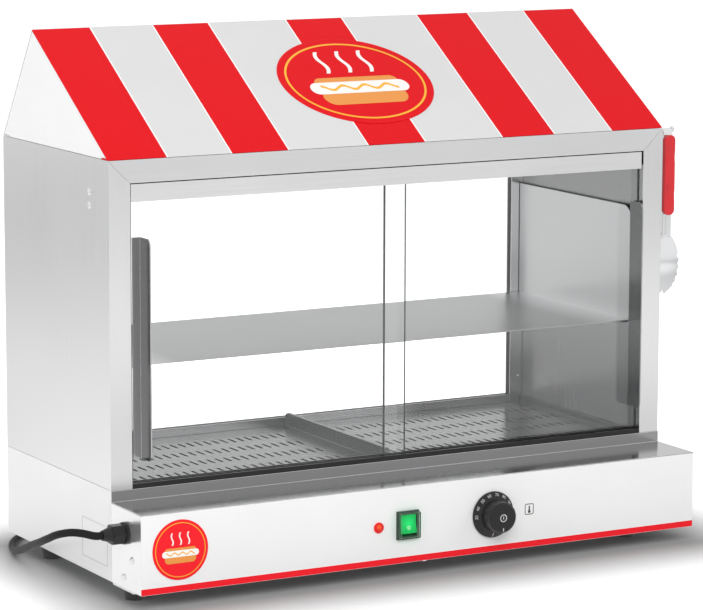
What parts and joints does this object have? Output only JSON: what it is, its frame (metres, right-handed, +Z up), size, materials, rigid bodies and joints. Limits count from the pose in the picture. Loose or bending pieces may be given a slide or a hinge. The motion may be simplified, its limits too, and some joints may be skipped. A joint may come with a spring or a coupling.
{
  "type": "hot dog steamer",
  "caption": "Countertop hot dog steamer with a glazed cabinet, sliding glass doors, striped gable roof, water tank base, knob control and hanging tongs",
  "frame": {"origin": "middle of the footprint of the unit with its knob, gland and tongs, on the surface that the feet stand on", "axes": "+X to the right along the front, +Y from front to back, +Z up"},
  "size_m": [0.6672, 0.4353, 0.4934],
  "materials": {
    "white_enamel": "glossy white enamel, red stripes on the roof and at the foot of the front",
    "stainless": "brushed stainless sheet",
    "bright_stainless": "polished stainless",
    "zinc_sheet": "plain zinc coated sheet",
    "black_plastic": "black moulded plastic",
    "black_rubber": "black rubber",
    "clear_glass": "clear glass",
    "clear_hood": "clear flexible hood",
    "green_lens": "lit green plastic",
    "red_lens": "lit red plastic",
    "red_plastic": "red moulded grips",
    "ivory_plastic": "ivory terminal plastic",
    "copper": "copper sensor bulb"
  },
  "bodies": {
    "housing": {"base_left_panel": "white_enamel", "base_right_panel": "white_enamel", "base_rear_panel": "white_enamel", "base_floor": "zinc_sheet", "service_cover": "white_enamel", "feet": "black_rubber", "control_panel": "white_enamel", "control_top": "bright_stainless", "cabinet_left_panel": "stainless", "cabinet_right_panel": "stainless", "inner_left_wall": "stainless", "inner_right_wall": "stainless", "ceiling_panel": "stainless", "left_stile": "stainless", "right_stile": "stainless", "top_rail": "stainless", "header_cover": "stainless", "top_track": "black_plastic", "bottom_track": "black_plastic", "rear_posts": "stainless", "rear_rails": "stainless", "rear_gasket": "black_rubber", "rear_glass": "clear_glass", "roof_panel": "white_enamel", "left_gable": "white_enamel", "right_gable": "white_enamel", "shelf_rails": "stainless", "tank_deck": "stainless", "water_tank": "stainless", "tank_sides": "stainless", "heating_element": "zinc_sheet", "level_probe": "zinc_sheet", "thermostat_body": "zinc_sheet", "thermostat_bulb": "copper", "switch_body": "black_plastic", "switch_cover": "clear_hood", "indicator_lamp": "red_lens", "terminal_block": "ivory_plastic", "pan_screws": "bright_stainless", "tongs_hook": "bright_stainless", "cable_gland": "black_plastic", "power_cord": "black_rubber", "cord_coil": "black_rubber", "plug_lead": "black_rubber", "mains_plug": "black_plastic"},
    "left_door": {"left_door_glass": "clear_glass", "left_door_pull": "stainless"},
    "right_door": {"right_door_glass": "clear_glass", "right_door_pull": "stainless"},
    "shelf_unit": {"shelf": "bright_stainless"},
    "left_tray_unit": {"left_tray": "stainless"},
    "right_tray_unit": {"right_tray": "stainless"},
    "knob": {"thermostat_knob": "black_plastic", "thermostat_shaft": "zinc_sheet"},
    "rocker": {"switch_rocker": "green_lens"},
    "tongs": {"tongs_bow": "bright_stainless"},
    "tongs_front": {"tongs_front_arm": "bright_stainless", "tongs_front_grip": "red_plastic"},
    "tongs_rear": {"tongs_rear_arm": "bright_stainless", "tongs_rear_grip": "red_plastic"}
  },
  "joints": [
    {"name": "left_door_slide", "type": "slide", "parent": "housing", "child": "left_door", "axis": [1, 0, 0], "range_m": [-0.004, 0.245]},
    {"name": "right_door_slide", "type": "slide", "parent": "housing", "child": "right_door", "axis": [1, 0, 0], "range_m": [-0.245, 0]},
    {"name": "shelf_lift", "type": "slide", "parent": "housing", "child": "shelf_unit", "axis": [0, 0, 1], "range_m": [0, 0.03]},
    {"name": "left_tray_lift", "type": "slide", "parent": "housing", "child": "left_tray_unit", "axis": [0, 0, 1], "range_m": [0, 0.06]},
    {"name": "right_tray_lift", "type": "slide", "parent": "housing", "child": "right_tray_unit", "axis": [0, 0, 1], "range_m": [0, 0.06]},
    {"name": "knob_turn", "type": "hinge", "parent": "housing", "child": "knob", "pos_m": [0.0635, -0.1355, 0.0505], "axis": [0, 1, 0], "range_deg": [0, 270]},
    {"name": "rocker_tilt", "type": "hinge", "parent": "housing", "child": "rocker", "pos_m": [-0.027, -0.1325, 0.0505], "axis": [1, 0, 0], "range_deg": [0, 18]},
    {"name": "tongs_swing", "type": "hinge", "parent": "housing", "child": "tongs", "pos_m": [0.3035, -0.0535, 0.384], "axis": [1, 0, 0], "range_deg": [-60, 60]},
    {"name": "tongs_front_squeeze", "type": "hinge", "parent": "tongs", "child": "tongs_front", "pos_m": [0.3035, -0.0591, 0.3763], "axis": [1, 0, 0], "range_deg": [0, 0.95], "stiffness_Nm_per_rad": 1},
    {"name": "tongs_rear_squeeze", "type": "hinge", "parent": "tongs", "child": "tongs_rear", "pos_m": [0.3035, -0.0479, 0.3763], "axis": [1, 0, 0], "range_deg": [-0.95, 0], "stiffness_Nm_per_rad": 1}
  ],
  "couplings": [
    {"joint": "tongs_rear_squeeze", "follows": "tongs_front_squeeze", "ratio": -1}
  ]
}
